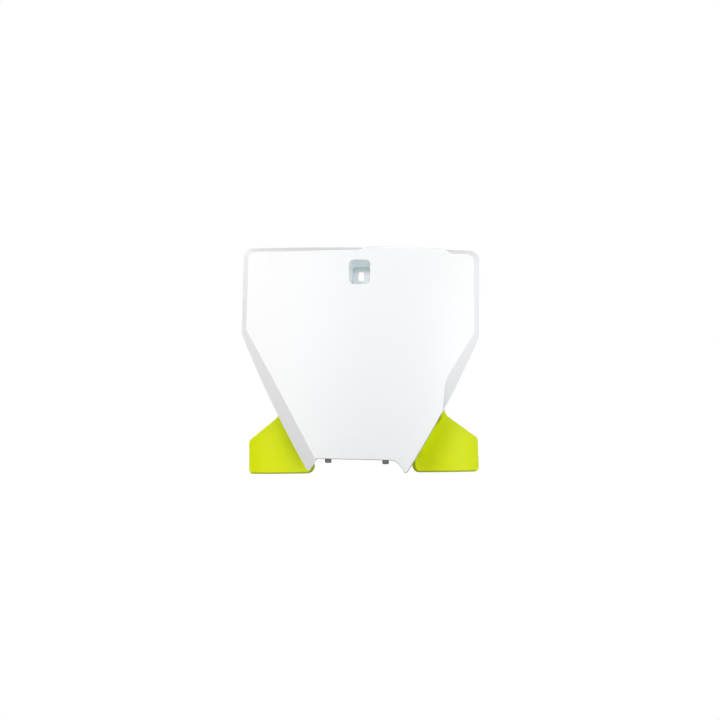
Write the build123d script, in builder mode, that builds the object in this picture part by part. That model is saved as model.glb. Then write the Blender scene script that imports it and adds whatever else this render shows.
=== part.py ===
from build123d import *

import os
from math import atan2, degrees, hypot

# Front number board of an off-road motorbike: a moulded plate with two deflector wings behind its lower corners.
# Millimetres. X runs to the viewer's right, Y from the front of the board to its back, Z up.
# The origin is the middle of the top screw slot, on the pad that seats against the bracket.

# Plate outline seen from the front, measured from the screw slot
shoulder_rise = 27.15
top_bow = 3.2
top_rise = shoulder_rise + top_bow
half_width_top = 125.7
knee_flare = 1.1
half_width_knee = half_width_top + knee_flare
knee_drop = 62.1
tip_drop = 208.0
tip_half_span = 52.5
bottom_drop = 193.4
bottom_half_span = 42.5
flank_bulge = 3.0
shoulder_radius = 11.0
tip_radius = 2.0
left_heel_radius = 4.0
right_heel_radius = 12.0

# Plate section: the face is part of a wide upright cylinder, the rim lies in one plane
wall = 2.6
face_depth = 16.0
face_sag = 6.7
face_radius = half_width_knee**2 / (2 * face_sag)
rim_depth = 7.0
rim_land = 0.8
edge_round = 0.8
skirt_wall_share = 0.76

# Bevels: how far each edge sets back for every millimetre in front of the rim
top_bevel_ratio = 0.34
shoulder_bevel_ratio = 0.86
side_bevel_ratio = 2.55
knee_bevel_ratio = 2.57
knee_lift_ratio = 1.82
tail_bevel_ratio = 2.17
crease_radius = 6.0

# Stretches where the face runs out flush to the edge, with no bevel
tab_rise = 1.15
tab_foot_left = -18.0
tab_head_left = 4.4
tab_head_right = 89.2
tab_foot_right = 102.6
tab_foot_rise = 20.0
toe_head_x = 93.3
toe_head_drop = 104.5
toe_foot_x = 89.3
toe_foot_drop = 150.0

# Screw pocket, with a roof that slopes for the tool
mouth_width = 22.7
mouth_height = 26.0
mouth_centre = 4.9
mouth_radius = 4.5
floor_width = 18.4
floor_height = 17.9
floor_centre = 0.8
floor_radius = 3.5
floor_thickness = 3.0
slot_width = 5.8
slot_height = 9.0
slot_radius = 1.3

# Pegs under the bottom edge and their rubber caps
peg_half_span = 30.6
peg_depth = 11.7
spigot_diameter = 4.2
spigot_length = 3.2
cap_diameter = 6.9
cap_length = 4.2
cap_round = 1.2
cap_clearance = 0.1

# Wings: the panel is part of an upright cylinder in front of each fork leg
panel_mid_x = 90.0
panel_depth = 25.0
panel_radius = 85.0
panel_wall = 2.4
panel_lip = 7.0
panel_round = 2.2
panel_inner_x = 53.2
panel_outer_x = 124.2
panel_outer_lean = 0.5
panel_inner_drop = 209.3
panel_outer_drop = 209.1
panel_corner_drop = 173.5
neck_x = 91.5
neck_drop = 149.0
arm_outer_x = 82.4
arm_inner_x = 68.0
arm_top_drop = 128.0
panel_waist_drop = 178.0
inner_radius = 7.5
outer_radius = 4.5
corner_radius = 5.5
neck_radius = 10.0
arm_radius = 4.0
wing_tilt = 1.95
wing_pivot_drop = 184.0

# Screw flange that ties each wing to the back of the plate
lower_screw = (57.0, -168.0)
upper_screw = (73.0, -137.0)
flange_thickness = 2.6
flange_overrun = 8.0
flange_inside = 6.0
flange_outside = 12.3
web_thickness = 2.4
web_length = 40.0
web_slide = 10.0
flange_round = 4.0
gusset_reach = 8.0
gusset_height = 14.0
gusset_thickness = 2.0

# Screws and the bosses that take them
boss_diameter = 9.0
pilot_diameter = 3.5
pilot_depth = 4.7
shank_diameter = 3.3
shank_length = 6.8
screw_hole_diameter = 4.2
head_diameter = 7.4
head_height = 2.4
head_round = 0.9
shank_tip = 0.7
recess_width = 3.4
recess_bar = 1.0
recess_depth = 1.2

# Ribs behind the plate
rib_thickness = 1.8
pocket_rib_spread = 8.0
peg_rib_height = 16.0

beyond = 6.0


def at_depth(y):
    """Sketch plane that faces the viewer, y millimetres behind the screw pad."""
    return Plane.XZ.offset(-y)


def plate_outline():
    """Front view of the plate, with its flush top edge, flanks, tips and heels."""
    with BuildSketch() as outline:
        with BuildLine():
            top = ThreePointArc(
                (-half_width_top, shoulder_rise + tab_rise),
                (0, top_rise + tab_rise),
                (half_width_top, shoulder_rise + tab_rise),
            )
            right_side = Line(top @ 1, (half_width_knee, -knee_drop))
            right_flank = SagittaArc(right_side @ 1, (tip_half_span, -tip_drop), flank_bulge)
            bottom = Polyline(
                right_flank @ 1,
                (bottom_half_span, -bottom_drop),
                (-bottom_half_span, -bottom_drop),
                (-tip_half_span, -tip_drop),
            )
            left_flank = SagittaArc(bottom @ 1, (-half_width_knee, -knee_drop), flank_bulge)
            Line(left_flank @ 1, top @ 0)
        make_face()
        fillet(outline.vertices().group_by(Axis.Y)[-1], shoulder_radius)
        fillet(outline.vertices().group_by(Axis.Y)[0], tip_radius)
        heels = outline.vertices().filter_by_position(Axis.Y, -bottom_drop - wall, -bottom_drop + wall)
        fillet(heels.sort_by(Axis.X)[-1], right_heel_radius)
        heels = outline.vertices().filter_by_position(Axis.Y, -bottom_drop - wall, -bottom_drop + wall)
        fillet(heels.sort_by(Axis.X)[0], left_heel_radius)
    return outline.sketch


def bevel_outline(reach):
    """Outline of the bevelled skirt, reach millimetres in front of the rim's land."""
    shoulder_x = half_width_top - side_bevel_ratio * reach
    shoulder_z = shoulder_rise - shoulder_bevel_ratio * reach
    knee_x = half_width_knee - knee_bevel_ratio * reach
    knee_z = knee_lift_ratio * reach - knee_drop
    tail_x = tip_half_span - tail_bevel_ratio * reach
    with BuildSketch() as outline:
        with BuildLine():
            top = ThreePointArc(
                (-shoulder_x, shoulder_z),
                (0, top_rise - top_bevel_ratio * reach),
                (shoulder_x, shoulder_z),
            )
            right_side = Line(top @ 1, (knee_x, knee_z))
            right_flank = SagittaArc(right_side @ 1, (tail_x, -tip_drop), flank_bulge)
            tail = Polyline(
                right_flank @ 1,
                (tail_x, -tip_drop - beyond),
                (-tail_x, -tip_drop - beyond),
                (-tail_x, -tip_drop),
            )
            left_flank = SagittaArc(tail @ 1, (-knee_x, knee_z), flank_bulge)
            Line(left_flank @ 1, top @ 0)
        make_face()
        shoulders = outline.vertices().group_by(Axis.Y)[-1]
        fillet(shoulders, shoulder_radius if reach < 0 else crease_radius)
    return outline.sketch


def skirt(inset):
    """Bevelled body of the plate, drawn in and back so that steep and shallow bevels keep one wall."""
    rise = face_depth - rim_depth
    draw = skirt_wall_share * inset
    with BuildPart() as body:
        for reach in (-rim_land - draw, rise):
            with BuildSketch(at_depth(draw - rim_depth - rim_land - reach)):
                add(bevel_outline(reach))
                if inset:
                    offset(amount=-draw, kind=Kind.INTERSECTION, mode=Mode.REPLACE)
        loft(ruled=True)
    return body.part


def flush_zones(inset):
    """Blocks where the face runs straight out to the edge: the tab on top and the toe at lower right."""
    tab_slope_left = (top_rise - tab_foot_rise) / (tab_head_left - tab_foot_left)
    tab_slope_right = (top_rise - tab_foot_rise) / (tab_foot_right - tab_head_right)
    head = top_rise + beyond
    with BuildPart() as zones:
        with BuildSketch(at_depth(-rim_depth)):
            with BuildLine():
                Polyline(
                    (tab_foot_left, 0),
                    (tab_foot_left, tab_foot_rise),
                    (tab_foot_left + (head - tab_foot_rise) / tab_slope_left, head),
                    (tab_foot_right - (head - tab_foot_rise) / tab_slope_right, head),
                    (tab_foot_right, tab_foot_rise),
                    (tab_foot_right, 0),
                    close=True,
                )
            make_face()
            if inset:
                offset(amount=-inset, kind=Kind.INTERSECTION, mode=Mode.REPLACE)
        with BuildSketch(at_depth(-rim_depth)):
            with BuildLine():
                Polyline(
                    (0, -toe_head_drop),
                    (toe_head_x - inset, -toe_head_drop),
                    (toe_foot_x - inset, -toe_foot_drop),
                    (toe_foot_x - inset, -tip_drop - beyond),
                    (0, -tip_drop - beyond),
                    close=True,
                )
            make_face()
        extrude(amount=face_depth - rim_depth + beyond)
    return zones.part


def crown(inset):
    """Block behind the crowned face, inset millimetres behind the outer skin."""
    depth = face_depth - inset
    half_span = half_width_knee + beyond
    sag = half_span**2 / (2 * face_radius)
    with BuildPart() as block:
        with BuildSketch(Plane.XY.offset(-tip_drop - beyond)):
            with BuildLine():
                face = ThreePointArc((-half_span, sag - depth), (0, -depth), (half_span, sag - depth))
                Polyline(face @ 1, (half_span, 0), (-half_span, 0), face @ 0)
            make_face()
        extrude(amount=tip_drop + top_rise + 2 * beyond)
    return block.part


def plate_blank(inset):
    """Solid inside the plate's skin, drawn in by inset: a flush body with a rounded edge, cut back by the bevels."""
    bevels = skirt(inset) + flush_zones(inset)
    with BuildPart() as blank:
        with BuildSketch(at_depth(-rim_depth)):
            add(plate_outline())
            if inset:
                offset(amount=-inset, kind=Kind.INTERSECTION, mode=Mode.REPLACE)
        extrude(amount=face_depth)
        add(crown(inset), mode=Mode.INTERSECT)
        if not inset:
            front = blank.faces().filter_by(GeomType.CYLINDER).sort_by(SortBy.AREA)[-1]
            fillet(front.outer_wire().edges(), edge_round)
        add(bevels, mode=Mode.INTERSECT)
    return blank.part


def pocket(grow, back, front):
    """Tapered pocket from depth back to depth front, thickened by grow on every side."""
    with BuildPart() as well:
        with BuildSketch(at_depth(-back)):
            with Locations((0, floor_centre)):
                RectangleRounded(floor_width + 2 * grow, floor_height + 2 * grow, floor_radius + grow)
        with BuildSketch(at_depth(-front)):
            with Locations((0, mouth_centre)):
                RectangleRounded(mouth_width + 2 * grow, mouth_height + 2 * grow, mouth_radius + grow)
        loft(ruled=True)
    return well.part


def screw_places():
    """Front-view places of the wing screws, both sides."""
    return [(side * x, z) for side in (-1, 1) for x, z in (lower_screw, upper_screw)]


def face_y(x):
    """Y of the plate's outer face at x."""
    return x**2 / (2 * face_radius) - face_depth


def ribs():
    """Gussets from the pocket to the top wall, and short ribs that carry the pegs."""
    with BuildPart() as webs:
        with BuildSketch(at_depth(-rim_depth)):
            with Locations((-pocket_rib_spread, 0), (pocket_rib_spread, 0)):
                Rectangle(rib_thickness, top_rise, align=(Align.CENTER, Align.MIN))
            with Locations((-peg_half_span, -bottom_drop), (peg_half_span, -bottom_drop)):
                Rectangle(rib_thickness, peg_rib_height, align=(Align.CENTER, Align.MIN))
        extrude(amount=face_depth - rim_depth)
        add(plate_blank(wall / 2), mode=Mode.INTERSECT)
        add(pocket(wall / 2, 0, face_depth), mode=Mode.SUBTRACT)
    return webs.part


with BuildPart() as number_plate:
    add(plate_blank(0))
    add(plate_blank(wall), mode=Mode.SUBTRACT)
    add(ribs())
    add(pocket(wall, 0, face_depth - wall / 2))
    add(pocket(0, floor_thickness, face_depth + rim_land), mode=Mode.SUBTRACT)
    with BuildSketch(Plane.XZ):
        RectangleRounded(slot_width, slot_height, slot_radius)
    extrude(amount=floor_thickness + rim_land, mode=Mode.SUBTRACT)
    with BuildSketch(Plane.XY.offset(wall / 2 - bottom_drop)):
        with Locations((-peg_half_span, -peg_depth), (peg_half_span, -peg_depth)):
            Circle(spigot_diameter / 2)
    extrude(amount=-spigot_length - wall / 2)
    for place in screw_places():
        with BuildSketch(at_depth(-rim_depth)):
            with Locations(place):
                Circle(boss_diameter / 2)
        extrude(amount=-rim_depth - face_y(place[0]) - wall / 2)
    with BuildSketch(at_depth(-rim_depth)):
        with Locations(screw_places()):
            Circle(pilot_diameter / 2)
    extrude(amount=pilot_depth, mode=Mode.SUBTRACT)
    front = number_plate.faces().filter_by(GeomType.CYLINDER).sort_by(SortBy.AREA)[-1]
    fillet(front.inner_wires().edges(), edge_round)
number_plate.part.label = "number_plate"


def wing_outline(side):
    """Front view of a wing: visible panel, neck and hidden arm. The pair hangs at a slight tilt behind the plate."""
    corners = [
        ((side * panel_inner_x, -panel_inner_drop), inner_radius),
        ((side * panel_outer_x, -panel_outer_drop), outer_radius),
        ((side * (panel_outer_x - panel_outer_lean), -panel_corner_drop), corner_radius),
        ((side * neck_x, -neck_drop), neck_radius),
        ((side * arm_outer_x, -arm_top_drop), arm_radius),
        ((side * arm_inner_x, -arm_top_drop), arm_radius),
        ((side * panel_inner_x, -panel_waist_drop), inner_radius),
    ]
    with BuildSketch() as outline:
        with BuildLine():
            Polyline(*[point for point, _ in corners], close=True)
        make_face()
        for point, radius in corners:
            fillet(outline.vertices().sort_by_distance(point)[0], radius)
    return outline.sketch.rotate(Axis((0, -wing_pivot_drop, 0), (0, 0, 1)), wing_tilt)


def drum(side, radius):
    """Upright cylinder about the axis that a wing's panel bends round."""
    with BuildPart() as solid:
        with BuildSketch(Plane.XY.offset(-panel_inner_drop - beyond)):
            with Locations((side * panel_mid_x, panel_depth + panel_radius)):
                Circle(radius)
        extrude(amount=panel_inner_drop)
    return solid.part


def panel_block(side, inset):
    """Solid behind a wing's skin, drawn in by inset from the front and the edges."""
    with BuildPart() as block:
        with BuildSketch(at_depth(panel_depth - beyond)):
            add(wing_outline(side))
            if inset:
                offset(amount=-inset, mode=Mode.REPLACE)
        extrude(amount=-panel_radius)
        add(drum(side, panel_radius - inset), mode=Mode.INTERSECT)
    return block.part


def wing(side):
    """One moulding: a tray-shaped panel, a web that runs forward from it, and a screw flange on the web."""
    run = (upper_screw[0] - lower_screw[0], upper_screw[1] - lower_screw[1])
    middle = (side * (upper_screw[0] + lower_screw[0]) / 2, (upper_screw[1] + lower_screw[1]) / 2)
    along = Location((middle[0], middle[1], 0), (0, 0, degrees(atan2(run[1], side * run[0]))))
    length = hypot(*run) + 2 * flange_overrun
    outer_edge = flange_outside + web_thickness / 2
    inward = Vector(-side * run[1], 0, run[0]).normalized()
    web_foot = Vector(middle[0], flange_thickness - rim_depth, middle[1]) - inward * flange_outside
    across = Plane(origin=web_foot, x_dir=inward, z_dir=inward.cross(Vector(0, 1, 0)))
    with BuildPart() as tray:
        add(panel_block(side, 0))
        add(drum(side, panel_radius - panel_lip), mode=Mode.SUBTRACT)
        skin = tray.faces().filter_by(GeomType.CYLINDER).sort_by(SortBy.AREA)[-1]
        fillet(skin.edges(), panel_round)
        add(panel_block(side, panel_wall), mode=Mode.SUBTRACT)
    with BuildPart() as bracket:
        with BuildSketch(at_depth(-rim_depth)):
            with Locations(along):
                with Locations((-web_slide, -side * flange_outside)):
                    Rectangle(web_length, web_thickness)
        extrude(amount=-rim_depth - panel_depth - panel_lip)
        add(drum(side, panel_radius - panel_wall / 2), mode=Mode.SUBTRACT)
        with BuildSketch(at_depth(-rim_depth)):
            with Locations(along):
                with Locations((0, side * (flange_inside - outer_edge) / 2)):
                    RectangleRounded(length, flange_inside + outer_edge, flange_round)
        extrude(amount=-flange_thickness)
        with BuildSketch(across):
            with BuildLine():
                Polyline((0, 0), (gusset_reach, 0), (0, gusset_height), close=True)
            make_face()
        extrude(amount=gusset_thickness / 2, both=True)
        with BuildSketch(at_depth(-rim_depth)):
            with Locations((side * lower_screw[0], lower_screw[1]), (side * upper_screw[0], upper_screw[1])):
                Circle(screw_hole_diameter / 2)
        extrude(amount=-flange_thickness, mode=Mode.SUBTRACT)
    with BuildPart() as moulding:
        add(tray.part)
        add(bracket.part)
    return moulding.part


with BuildPart() as left_wing:
    add(wing(-1))
left_wing.part.label = "left_wing"

with BuildPart() as right_wing:
    add(wing(1))
right_wing.part.label = "right_wing"


def peg_cap(side):
    """Blind rubber cap pushed over one spigot."""
    with BuildPart() as cap:
        with BuildSketch(Plane.XY.offset(-bottom_drop)):
            with Locations((side * peg_half_span, -peg_depth)):
                Circle(cap_diameter / 2)
        extrude(amount=-cap_length)
        fillet(cap.edges().group_by(Axis.Z)[0], cap_round)
        with BuildSketch(Plane.XY.offset(-bottom_drop)):
            with Locations((side * peg_half_span, -peg_depth)):
                Circle(spigot_diameter / 2 + cap_clearance)
        extrude(amount=-spigot_length - cap_clearance, mode=Mode.SUBTRACT)
    return cap.part


with BuildPart() as left_peg_cap:
    add(peg_cap(-1))
left_peg_cap.part.label = "left_peg_cap"

with BuildPart() as right_peg_cap:
    add(peg_cap(1))
right_peg_cap.part.label = "right_peg_cap"


with BuildPart() as wing_screws:
    with BuildSketch(at_depth(flange_thickness - rim_depth)):
        with Locations(screw_places()):
            Circle(head_diameter / 2)
    extrude(amount=-head_height)
    fillet(wing_screws.edges().filter_by(GeomType.CIRCLE).group_by(Axis.Y)[-1], head_round)
    with BuildSketch(at_depth(flange_thickness - rim_depth)):
        with Locations(screw_places()):
            Circle(shank_diameter / 2)
    extrude(amount=shank_length)
    chamfer(wing_screws.edges().filter_by(GeomType.CIRCLE).group_by(Axis.Y)[0], shank_tip)
    with BuildSketch(at_depth(flange_thickness - rim_depth + head_height)):
        with Locations(screw_places()):
            Rectangle(recess_width, recess_bar)
            Rectangle(recess_bar, recess_width)
    extrude(amount=recess_depth, mode=Mode.SUBTRACT)
wing_screws.part.label = "wing_screws"

pieces = [number_plate, left_wing, right_wing, left_peg_cap, right_peg_cap, wing_screws]

os.makedirs("parts", exist_ok=True)
for piece in pieces:
    export_step(piece.part, f"parts/{piece.part.label}.step")
    print(piece.part.label, len(piece.part.solids()), round(piece.part.volume))
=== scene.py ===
# %% [markdown]
# # A front number board for an off-road motorbike
# The board is a white moulded shell that hangs in front of the fork, with two fluorescent yellow wings
# behind its lower corners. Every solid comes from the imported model, already at its real size and place, so
# this lesson is about what a solid lacks: a camera, moulded finishes, soft studio light and a quiet floor.

from math import cos, radians, sin

import bpy
from mathutils import Matrix, Vector


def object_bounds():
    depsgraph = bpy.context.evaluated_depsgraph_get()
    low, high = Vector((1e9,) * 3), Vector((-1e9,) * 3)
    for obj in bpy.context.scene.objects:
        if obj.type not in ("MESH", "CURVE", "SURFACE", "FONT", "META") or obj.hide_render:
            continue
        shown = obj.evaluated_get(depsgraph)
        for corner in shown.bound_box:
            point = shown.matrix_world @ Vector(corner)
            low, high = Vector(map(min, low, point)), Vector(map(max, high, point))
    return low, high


MM = 0.001

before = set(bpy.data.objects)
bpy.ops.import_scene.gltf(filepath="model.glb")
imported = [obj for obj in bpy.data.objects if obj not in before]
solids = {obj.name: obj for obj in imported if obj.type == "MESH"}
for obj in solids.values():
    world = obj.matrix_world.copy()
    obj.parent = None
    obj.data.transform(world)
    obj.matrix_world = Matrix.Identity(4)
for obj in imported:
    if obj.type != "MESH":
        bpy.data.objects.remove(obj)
cad_low, cad_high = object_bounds()
print("solids:", ", ".join(sorted(solids)))
print("size in mm:", [round(side / MM, 1) for side in cad_high - cad_low])

# %% [markdown]
# ## The camera
# A product shot of a flat thing is taken from a few steps away with a long lens, so the edges of the board
# that are level in truth run together only a little. Four facts fix the view: how far the camera stands,
# how many millimetres one pixel covers, which pixel shows the middle of the screw slot, and how the board
# is turned. The slot is the origin of the model, so the rest follows by trigonometry, and no helper that
# depends on the render size is needed.

# %% Place the camera
PHOTO_PIXELS = 720
PIXEL_SIZE = 1.06 * MM
SLOT_PIXEL = (361.6, 276.7)
CAMERA_TURN = radians(8.0)
CAMERA_ROLL = radians(1.0)
CAMERA_DISTANCE = 2.6
CAMERA_REACH = 100.0
SENSOR_WIDTH = 36.0

towards_camera = Vector((sin(CAMERA_TURN), -cos(CAMERA_TURN), 0))
level_right = Vector((cos(CAMERA_TURN), sin(CAMERA_TURN), 0))
level_up = Vector((0, 0, 1))
camera_right = level_right * cos(CAMERA_ROLL) + level_up * sin(CAMERA_ROLL)
camera_up = level_up * cos(CAMERA_ROLL) - level_right * sin(CAMERA_ROLL)

slot_right = (SLOT_PIXEL[0] - PHOTO_PIXELS / 2) * PIXEL_SIZE
slot_up = (PHOTO_PIXELS / 2 - SLOT_PIXEL[1]) * PIXEL_SIZE
aim = -camera_right * slot_right - camera_up * slot_up

camera_data = bpy.data.cameras.new("camera")
camera_data.sensor_width = SENSOR_WIDTH
camera_data.lens = SENSOR_WIDTH * CAMERA_DISTANCE / (PHOTO_PIXELS * PIXEL_SIZE)
camera_data.clip_end = CAMERA_REACH
camera = bpy.data.objects.new("camera", camera_data)
turn = Matrix((camera_right, camera_up, towards_camera)).transposed()
camera.matrix_world = Matrix.Translation(aim + towards_camera * CAMERA_DISTANCE) @ turn.to_4x4()
bpy.context.scene.collection.objects.link(camera)
bpy.context.scene.camera = camera
print("lens in mm:", round(camera_data.lens, 1), "aim in mm:", [round(part / MM, 1) for part in aim])

# %% [markdown]
# ## Writing a finish as a sum
# A finish is a small program of nodes. Placing nodes one by one hides the idea behind wiring, so a class
# called Wire carries one socket and lets plain arithmetic add the Math nodes: `1 - mask` is a Subtract
# node. Anything that isn't arithmetic comes from one method, which sets the node's options first and then
# its sockets. The same method serves the studio around the board, which is a tree of nodes too.

# %% A wire that does arithmetic
class Wire:
    """One value on its way through a tree of nodes."""

    def __init__(self, nodes, socket):
        self.nodes = nodes
        self.socket = socket

    def math(self, operation, first, second):
        return self.nodes.node("ShaderNodeMath", {"operation": operation}, {0: first, 1: second})

    def __add__(self, other):
        return self.math("ADD", self, other)

    def __sub__(self, other):
        return self.math("SUBTRACT", self, other)

    def __rsub__(self, other):
        return self.math("SUBTRACT", other, self)

    def __mul__(self, other):
        return self.math("MULTIPLY", self, other)

    def __truediv__(self, other):
        return self.math("DIVIDE", self, other)

    def __lt__(self, other):
        return self.math("LESS_THAN", self, other)

    def __gt__(self, other):
        return self.math("GREATER_THAN", self, other)

    def __abs__(self):
        return self.math("ABSOLUTE", self, 0.0)

    def at_least(self, other):
        return self.math("MAXIMUM", self, other)

    __radd__ = __add__
    __rmul__ = __mul__


print("a wire can be added, multiplied and compared")


# %% A tree that makes nodes
class Nodes:
    """A tree of nodes, and the one method that adds to it."""

    def __init__(self, tree):
        self.tree = tree

    def node(self, kind, settings, sockets, output=0):
        made = self.tree.nodes.new(kind)
        for name, value in settings.items():
            setattr(made, name, value)
        for name, value in sockets.items():
            self.feed(made.inputs[name], value)
        return Wire(self, made.outputs[output])

    def feed(self, socket, value):
        if isinstance(value, Wire):
            self.tree.links.new(value.socket, socket)
        else:
            socket.default_value = value


print("node tools ready")

# %% A finish with its shader
SOFT_DETAIL = 2.0
FINE_DETAIL = 3.0
CLOUDY_DETAIL = 4.0


class Finish(Nodes):
    """One material, its shader and the nodes that feed it."""

    def __init__(self, name):
        self.material = bpy.data.materials.new(name)
        self.material.use_nodes = True
        super().__init__(self.material.node_tree)
        self.shader = self.tree.nodes["Principled BSDF"]

    def shade(self, **sockets):
        for name, value in sockets.items():
            self.feed(self.shader.inputs[name.replace("_", " ")], value)

    def place(self):
        """Where a point lies on the object, in metres."""
        return self.node("ShaderNodeTexCoord", {}, {}, "Object")

    def parts(self, vector):
        """The x, y and z of a vector as three wires."""
        x = self.node("ShaderNodeSeparateXYZ", {}, {"Vector": vector})
        split = x.socket.node
        return x, Wire(self, split.outputs["Y"]), Wire(self, split.outputs["Z"])

    def vector(self, operation, first, second):
        """Arithmetic on whole vectors."""
        return self.node("ShaderNodeVectorMath", {"operation": operation}, {0: first, 1: second}, "Vector")

    def length(self, vector):
        """How long a vector is."""
        return self.node("ShaderNodeVectorMath", {"operation": "LENGTH"}, {0: vector}, "Value")

    def noise(self, place, size, detail=SOFT_DETAIL):
        """Soft blotches about size metres across, from 0 to 1."""
        sockets = {"Vector": place, "Scale": 1 / size, "Detail": detail}
        return self.node("ShaderNodeTexNoise", {}, sockets, "Fac")

    def mix(self, share, low, high):
        """A colour between two, by share."""
        made = self.node("ShaderNodeMix", {"data_type": "RGBA"}, {"Factor": share}, "Result")
        mixer = made.socket.node
        self.feed(mixer.inputs["A"], low)
        self.feed(mixer.inputs["B"], high)
        return made

    def bump(self, height, depth):
        """A relief depth metres deep, ready for a Normal socket."""
        return self.node("ShaderNodeBump", {}, {"Height": height, "Distance": depth, "Strength": 1.0})


print("finish tools ready")

# %% [markdown]
# ## Slow tones and thin lines
# Most of what tells a moulding from paint is a tone that changes slowly, and a thin dark line runs along the
# plate's lower edges: painted shade, since the rounding there looks down, away from the lamps. Both are
# masks: a smooth step between two limits. The plate's line could be a thin strip of mesh, but its edge is
# already rounded there, and the normals say where: they lean down and stand between those of the face and
# of the wall behind it.

# %% Steps and the painted shade on the lower edges
EDGE_LEAN = -0.3
EDGE_WALL = (0.05, 0.2)
EDGE_FACE = (0.94, 0.99)


def step(finish, value, low, high):
    """A smooth rise from 0 at low to 1 at high."""
    limits = {"Value": value, "From Min": low, "From Max": high}
    return finish.node("ShaderNodeMapRange", {"interpolation_type": "SMOOTHSTEP"}, limits, "Result")


def normal_parts(finish):
    """The x, y and z of the surface's own direction."""
    return finish.parts(finish.node("ShaderNodeTexCoord", {}, {}, "Normal"))


def lower_edge_shade(finish):
    """Painted shade on the rounding of the lower edges: one there, zero on the face and the wall behind it.
    """
    _, y, z = normal_parts(finish)
    facing = abs(y)
    return (z < EDGE_LEAN) * (1 - step(finish, facing, *EDGE_FACE)) * step(finish, facing, *EDGE_WALL)


print("mask tools ready")

# %% [markdown]
# ## White polypropylene
# The plate is injection moulded in a polished tool, so its colour is almost even and its gloss is soft. A
# single flat white would look like paper. The white is palest and coolest in the upper middle and a touch
# darker and warmer towards the rim and the foot, which is painted shade for light that falls off there,
# broken up by soft blotches. Its gloss is blotchy, and its skin has a very fine ripple. The screw pocket
# gets its own tints, masked by where a point lies on the object: pale walls, a cool green-grey roof, and a
# floor greyed with painted shade that is darkest in the corner under the roof, where the roof's shadow
# falls.

# %% The white tones
# The rim tone is painted shade towards the rim and the foot.
WHITE_RIM = (0.892, 0.884, 0.866, 1)
WHITE_MIDDLE = (0.925, 0.924, 0.932, 1)
# The edge tone is painted shade on the plate's lower edges.
WHITE_EDGE_SHADE = (0.11, 0.11, 0.115, 1)
WHITE_EDGE_TOP = -60 * MM
PALEST_PLACE = (10 * MM, 0, -65 * MM)
SHADE_DRIFT_REACH = (105 * MM, 1.0, 170 * MM)
SHADE_DRIFT_FADE = (0.2, 1.1)
DRIFT_SIZE = 70 * MM
DRIFT_MIDDLE = 0.5
DRIFT_SHARE = 0.3


def shade_drift_share(finish, place):
    """Zero in the palest upper middle, one towards the rim and the foot where shade is painted, with soft
    blotches between.
    """
    offset = finish.vector("SUBTRACT", place, PALEST_PLACE)
    reach = finish.length(finish.vector("DIVIDE", offset, SHADE_DRIFT_REACH))
    blotches = (finish.noise(place, DRIFT_SIZE) - DRIFT_MIDDLE) * DRIFT_SHARE
    return step(finish, reach + blotches, *SHADE_DRIFT_FADE)


# The palest place, from which the painted shade darkens towards the rim and the foot.
print("melt comes in at", [round(part / MM) for part in PALEST_PLACE], "mm")

# %% The pocket's tints and painted shade
# The floor and corner tints are painted shade, darkest under the roof; the roof is a pale green-grey.
POCKET_ROOF_TINT = (0.76, 0.86, 0.85, 1)
POCKET_SIDE_TINT = (0.92, 0.93, 0.915, 1)
POCKET_FLOOR_LEFT = (0.57, 0.60, 0.64, 1)
POCKET_FLOOR_RIGHT = (0.69, 0.70, 0.725, 1)
POCKET_CORNER_SHADE = (0.38, 0.475, 0.485, 1)
POCKET_HALF_WIDTH = 11.5 * MM
POCKET_FOOT = -8.6 * MM
POCKET_ROOF = 9.2 * MM
POCKET_ROOF_SLOPE = 0.63
POCKET_BACK = -2.6 * MM
POCKET_FRONT = -15.6 * MM
POCKET_FLOOR = -3.3 * MM
SIDE_START = 9.2 * MM
FLOOR_FADE = (-6 * MM, 6 * MM)
CORNER_FADE = (1.0 * MM, 8.0 * MM)


def pocket_mask(finish, place):
    """One inside the screw pocket, zero elsewhere."""
    x, y, z = finish.parts(place)
    sides = abs(x) < POCKET_HALF_WIDTH
    depth = (y < POCKET_BACK) * (y > POCKET_FRONT)
    height = (z > POCKET_FOOT) * (z + y * POCKET_ROOF_SLOPE < POCKET_ROOF)
    return sides * depth * height


def pocket_shade_tint(finish, place):
    """Pale side walls, a green-grey roof and a floor greyed with painted shade, darker on the left and
    darkest in the corner under the roof.
    """
    x, y, z = finish.parts(place)
    walls = finish.mix(abs(x) > SIDE_START, POCKET_ROOF_TINT, POCKET_SIDE_TINT)
    across = finish.mix(step(finish, x, *FLOOR_FADE), POCKET_FLOOR_LEFT, POCKET_FLOOR_RIGHT)
    base = finish.mix(step(finish, z, *CORNER_FADE), across, POCKET_CORNER_SHADE)
    return finish.mix(y > POCKET_FLOOR, walls, base)


print("pocket depth in mm:", round((POCKET_BACK - POCKET_FRONT) / MM, 1))

# %% The white finish
SHEEN_SIZE = 18 * MM
RIPPLE_SIZE = 0.9 * MM
RIPPLE_DEPTH = 0.004 * MM
PLASTIC_IOR = 1.49
WHITE_ROUGH = 0.34
WHITE_ROUGH_DRIFT = 0.1
WHITE_COAT_ROUGH = 0.22


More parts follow.
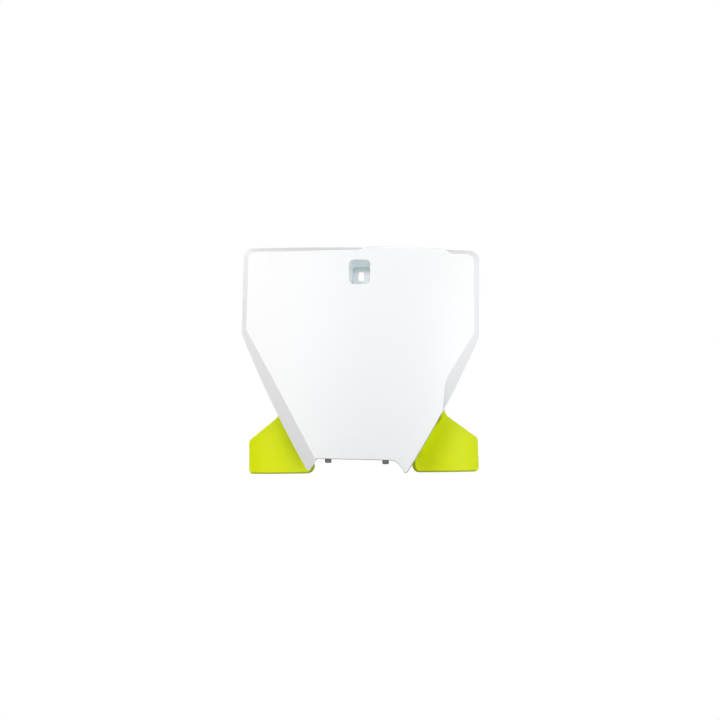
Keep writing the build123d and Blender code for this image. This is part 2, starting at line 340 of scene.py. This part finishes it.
def white_plastic():
    finish = Finish("white_plastic")
    place = finish.place()
    # Painted shade: darker and warmer towards the rim and the foot.
    drift = finish.mix(shade_drift_share(finish, place), WHITE_MIDDLE, WHITE_RIM)
    # Painted shade on the downward rounding of the plate's lower edges.
    line = lower_edge_shade(finish) * (finish.parts(place)[2] < WHITE_EDGE_TOP)
    shell = finish.mix(line, drift, WHITE_EDGE_SHADE)
    # The pocket's floor is greyed with painted shade.
    colour = finish.mix(pocket_mask(finish, place), shell, pocket_shade_tint(finish, place))
    gloss = WHITE_ROUGH + finish.noise(place, SHEEN_SIZE, FINE_DETAIL) * WHITE_ROUGH_DRIFT
    skin = finish.bump(finish.noise(place, RIPPLE_SIZE), RIPPLE_DEPTH)
    finish.shade(Base_Color=colour, Roughness=gloss, Normal=skin)
    finish.shade(IOR=PLASTIC_IOR, Coat_Weight=1.0, Coat_Roughness=WHITE_COAT_ROUGH)
    return finish.material


print("white finish ready")

# %% [markdown]
# ## Fluorescent yellow polypropylene
# The wings are the same plastic with a fluorescent pigment. The pigment settles unevenly, so the colour
# wanders between a greener and a warmer yellow, and the tool for these hidden-edge parts is less polished
# than the plate's. Their front edge is crisp, so the dark line along the foot and round the inner corner is
# painted shade, for the shaded roll of the foot and the plate's shadow by its tip, and it goes by how near a
# point is to the panel's outline. The pair hangs a little out of level, so the point is turned level first.
# A painted shadow darkens the tight corner where the right wing goes behind the plate.

# %% Painted shade and a painted shadow on the wings
WING_TILT = 0.034
WING_PIVOT = -184 * MM
WING_ROUND_X = 60.7 * MM
WING_ROUND_Z = -201.7 * MM
OUTLINE_FADE = (5.1 * MM, 6.9 * MM)
INNER_WIDENING = 1.45
FRONT_FACING = -0.3
CREASE_X = 82.9 * MM
CREASE_Z = -150.0 * MM
CREASE_LEAN = 0.5
CREASE_WIDTH = 2.5 * MM
CREASE_HEIGHT = 7.5 * MM
CREASE_FADE = (0.0, 1.15)


def outline_shade(finish, place):
    """Painted shade along the wing's lower and inner edges: one there, fading to zero a little inside them.
    """
    x, _, z = finish.parts(place)
    inwards = (WING_ROUND_X - abs(x + (z - WING_PIVOT) * WING_TILT)) * INNER_WIDENING
    downwards = WING_ROUND_Z - (z - x * WING_TILT)
    sides = {"X": inwards.at_least(0.0), "Z": downwards.at_least(0.0)}
    reach = finish.length(finish.node("ShaderNodeCombineXYZ", {}, sides))
    return step(finish, reach, *OUTLINE_FADE)


def crease_shadow(finish, place):
    """Painted shadow in the corner beside the plate's edge: one there, fading to zero round it."""
    x, _, z = finish.parts(place)
    along = z - CREASE_Z
    across = x - CREASE_X - along * CREASE_LEAN
    sides = {"X": across / CREASE_WIDTH, "Z": along / CREASE_HEIGHT}
    reach = finish.length(finish.node("ShaderNodeCombineXYZ", {}, sides))
    return 1 - step(finish, reach, *CREASE_FADE)


print("wing line in mm:", round((OUTLINE_FADE[1] - OUTLINE_FADE[0]) / MM, 1))

# %% The yellow finish
YELLOW_GREEN = (0.82, 0.94, 0.002, 1)
YELLOW_WARM = (0.88, 0.97, 0.003, 1)
# The edge tone is painted shade along the foot and round the inner corner.
YELLOW_EDGE_SHADE = (0.33, 0.40, 0.002, 1)
# The crease tone is a painted shadow in the corner beside the plate.
YELLOW_CREASE_SHADOW = (0.36, 0.42, 0.002, 1)
YELLOW_SPECULAR = 0.18
YELLOW_ROUGH = 0.36
YELLOW_ROUGH_DRIFT = 0.12


def yellow_plastic():
    finish = Finish("yellow_plastic")
    place = finish.place()
    pigment = finish.mix(finish.noise(place, DRIFT_SIZE, FINE_DETAIL), YELLOW_GREEN, YELLOW_WARM)
    front = normal_parts(finish)[1] < FRONT_FACING
    # Painted shade along the foot and round the inner corner.
    lined = finish.mix(outline_shade(finish, place) * front, pigment, YELLOW_EDGE_SHADE)
    # A painted shadow in the corner beside the plate's edge.
    colour = finish.mix(crease_shadow(finish, place) * front, lined, YELLOW_CREASE_SHADOW)
    gloss = YELLOW_ROUGH + finish.noise(place, SHEEN_SIZE, FINE_DETAIL) * YELLOW_ROUGH_DRIFT
    skin = finish.bump(finish.noise(place, RIPPLE_SIZE), RIPPLE_DEPTH)
    finish.shade(Base_Color=colour, Roughness=gloss, Normal=skin)
    finish.shade(IOR=PLASTIC_IOR, Specular_IOR_Level=YELLOW_SPECULAR)
    return finish.material


print("yellow finish ready")

# %% [markdown]
# ## Rubber and plated steel
# The caps on the pegs are moulded rubber: dark, matt, with a dusty bloom that lightens it in patches. The
# screws are zinc plated, which is a metal with a slightly bluish, cloudy shine.

# %% The rubber and steel finishes
RUBBER_DARK = (0.11, 0.115, 0.105, 1)
RUBBER_BLOOM = (0.185, 0.19, 0.175, 1)
RUBBER_ROUGH = 0.62
RUBBER_ROUGH_DRIFT = 0.2
RUBBER_GRAIN_DEPTH = 0.016 * MM
BLOOM_SIZE = 2.5 * MM
ZINC_BRIGHT = (0.66, 0.67, 0.69, 1)
ZINC_DULL = (0.5, 0.51, 0.54, 1)
ZINC_ROUGH = 0.28
ZINC_ROUGH_DRIFT = 0.18
ZINC_SIZE = 1.5 * MM


def cap_rubber():
    finish = Finish("cap_rubber")
    place = finish.place()
    bloom = finish.noise(place, BLOOM_SIZE, CLOUDY_DETAIL)
    skin = finish.bump(finish.noise(place, RIPPLE_SIZE, CLOUDY_DETAIL), RUBBER_GRAIN_DEPTH)
    colour = finish.mix(bloom, RUBBER_DARK, RUBBER_BLOOM)
    gloss = RUBBER_ROUGH + bloom * RUBBER_ROUGH_DRIFT
    finish.shade(Base_Color=colour, Roughness=gloss, Normal=skin)
    return finish.material


def plated_steel():
    finish = Finish("plated_steel")
    cloud = finish.noise(finish.place(), ZINC_SIZE, CLOUDY_DETAIL)
    colour = finish.mix(cloud, ZINC_DULL, ZINC_BRIGHT)
    gloss = ZINC_ROUGH + cloud * ZINC_ROUGH_DRIFT
    finish.shade(Base_Color=colour, Metallic=1.0, Roughness=gloss)
    return finish.material


print("rubber and steel finishes ready")

# %% [markdown]
# ## Dressing the solids
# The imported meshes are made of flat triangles, but each corner carries the normal of the true surface, so
# the crowned face and the fillets already read as curves and the creases stay crisp. The meshes stay as
# they are, and each one only puts on its finish.

# %% Put the finishes on
FINISHES = {
    "number_plate": white_plastic(),
    "left_wing": yellow_plastic(),
    "right_wing": yellow_plastic(),
    "left_peg_cap": cap_rubber(),
    "right_peg_cap": cap_rubber(),
    "wing_screws": plated_steel(),
}

for name, material in FINISHES.items():
    solid = solids[name]
    solid.data.materials.clear()
    solid.data.materials.append(material)
    print(name, "wears", material.name)

# %% [markdown]
# ## The floor and the white around it
# The board hangs in front of the bike, so nothing stands on the floor. It lies well below, catches a soft
# shadow near the board, and turns into plain white further out, so that the picture has a clean white
# ground. The white comes from what the camera and a mirror-like surface see of the floor and the studio,
# not from more light on the object.

# %% The floor
FLOOR_DROP = 0.42
FLOOR_REACH = 30.0
FLOOR_SIDES = 96
FLOOR_WHITE = (0.72, 0.72, 0.72, 1)
FLOOR_ROUGH = 0.9
SHADOW_REACH = 1.05
SHADOW_SHARE = 0.6
PURE_WHITE = (1, 1, 1, 1)


def seen_directly(nodes):
    """One for rays from the camera, a mirror-like surface or a clear one."""
    camera_ray = nodes.node("ShaderNodeLightPath", {}, {}, "Is Camera Ray")
    path = camera_ray.socket.node
    mirror_ray = Wire(nodes, path.outputs["Is Glossy Ray"])
    clear_ray = Wire(nodes, path.outputs["Is Transmission Ray"])
    return camera_ray.at_least(mirror_ray).at_least(clear_ray)


def floor_material():
    finish = Finish("floor")
    finish.shade(Base_Color=FLOOR_WHITE, Roughness=FLOOR_ROUGH)
    far = step(finish, finish.length(finish.place()), 0.0, SHADOW_REACH)
    glow_share = 1 - SHADOW_SHARE + far * SHADOW_SHARE
    glow = finish.node("ShaderNodeEmission", {}, {"Color": PURE_WHITE, "Strength": 1.0}, "Emission")
    lit = Wire(finish, finish.shader.outputs["BSDF"])
    layers = {0: glow_share * seen_directly(finish), 1: lit, 2: glow}
    both = finish.node("ShaderNodeMixShader", {}, layers, "Shader")
    finish.feed(finish.tree.nodes["Material Output"].inputs["Surface"], both)
    return finish.material


bpy.ops.mesh.primitive_circle_add(vertices=FLOOR_SIDES, radius=FLOOR_REACH, fill_type="NGON")
floor = bpy.context.object
floor.name = "floor"
floor.location.z = cad_low.z - FLOOR_DROP
floor.data.materials.append(floor_material())
print("floor at", round(floor.location.z / MM), "mm")

# %% The white around it
AMBIENT = (0.01, 0.01, 0.0105, 1)

world = bpy.data.worlds.new("studio")
world.use_nodes = True
bpy.context.scene.world = world
studio = Nodes(world.node_tree)
sky = studio.tree.nodes["Background"]
studio.feed(sky.inputs["Color"], AMBIENT)
dim = Wire(studio, sky.outputs["Background"])
white = studio.node("ShaderNodeBackground", {}, {"Color": PURE_WHITE}, "Background")
around = studio.node("ShaderNodeMixShader", {}, {0: seen_directly(studio), 1: dim, 2: white}, "Shader")
studio.feed(studio.tree.nodes["World Output"].inputs["Surface"], around)
print("studio has", len(studio.tree.nodes), "nodes")

# %% [markdown]
# ## Studio light
# Glossy white shows where the lamps stood. The face is bright at the top and along both sides and greyer
# in the lower middle, because its skin mirrors two soft boxes with a gap between them for the camera. Both
# flanks look down and are greyer than the face, so little light came from below, and a box above the board
# does the rest. The right side is cooler, so the weak box there has a cool tube and the front one a
# faintly cool one. Two lamps behind the board don't reach its front: they are there for whoever walks
# round it.

# %% The lamps
NEUTRAL = (1.0, 1.0, 1.0)
COOL = (0.74, 0.87, 1.0)
FAINTLY_COOL = (0.975, 0.984, 1.0)
SLOT_HEIGHT = 0.0
MIDDLE_HEIGHT = -0.09
WIDE_BOX = (0.6, 0.5)
SQUARE_BOX = (0.5, 0.5)

# Each lamp: where it stands, the height that it looks at, its size, its watts and its colour
LAMPS = {
    "left front": ((-0.6, -1.3, -0.15), MIDDLE_HEIGHT, WIDE_BOX, 2.76, NEUTRAL),
    "right front": ((0.42, -1.3, -0.15), MIDDLE_HEIGHT, WIDE_BOX, 4.46, FAINTLY_COOL),
    "left box": ((-0.53, -0.53, 0.25), SLOT_HEIGHT, SQUARE_BOX, 1.3, NEUTRAL),
    "right box": ((0.75, -0.6, -0.09), MIDDLE_HEIGHT, SQUARE_BOX, 1.6, COOL),
    "top box": ((0, -0.55, 0.55), SLOT_HEIGHT, SQUARE_BOX, 2.82, NEUTRAL),
    "left back": ((-0.6, 0.8, 0.1), MIDDLE_HEIGHT, SQUARE_BOX, 3.6, NEUTRAL),
    "right back": ((0.6, 0.8, 0.1), MIDDLE_HEIGHT, SQUARE_BOX, 3.6, NEUTRAL),
}

for name, (place, height, size, power, colour) in LAMPS.items():
    data = bpy.data.lights.new(name, "AREA")
    data.shape = "RECTANGLE"
    data.size, data.size_y = size
    data.energy = power
    data.color = colour
    panel = bpy.data.objects.new(name, data)
    panel.location = place
    outwards = panel.location - Vector((0, 0, height))
    panel.rotation_euler = outwards.to_track_quat("Z", "Y").to_euler()
    bpy.context.scene.collection.objects.link(panel)
    print(name, "lamp", power, "W")

# %% [markdown]
# ## Showing the colours
# The colours are shown as they are, with no film curve.

# %% Show the colours as they are
bpy.context.scene.view_settings.view_transform = "Standard"
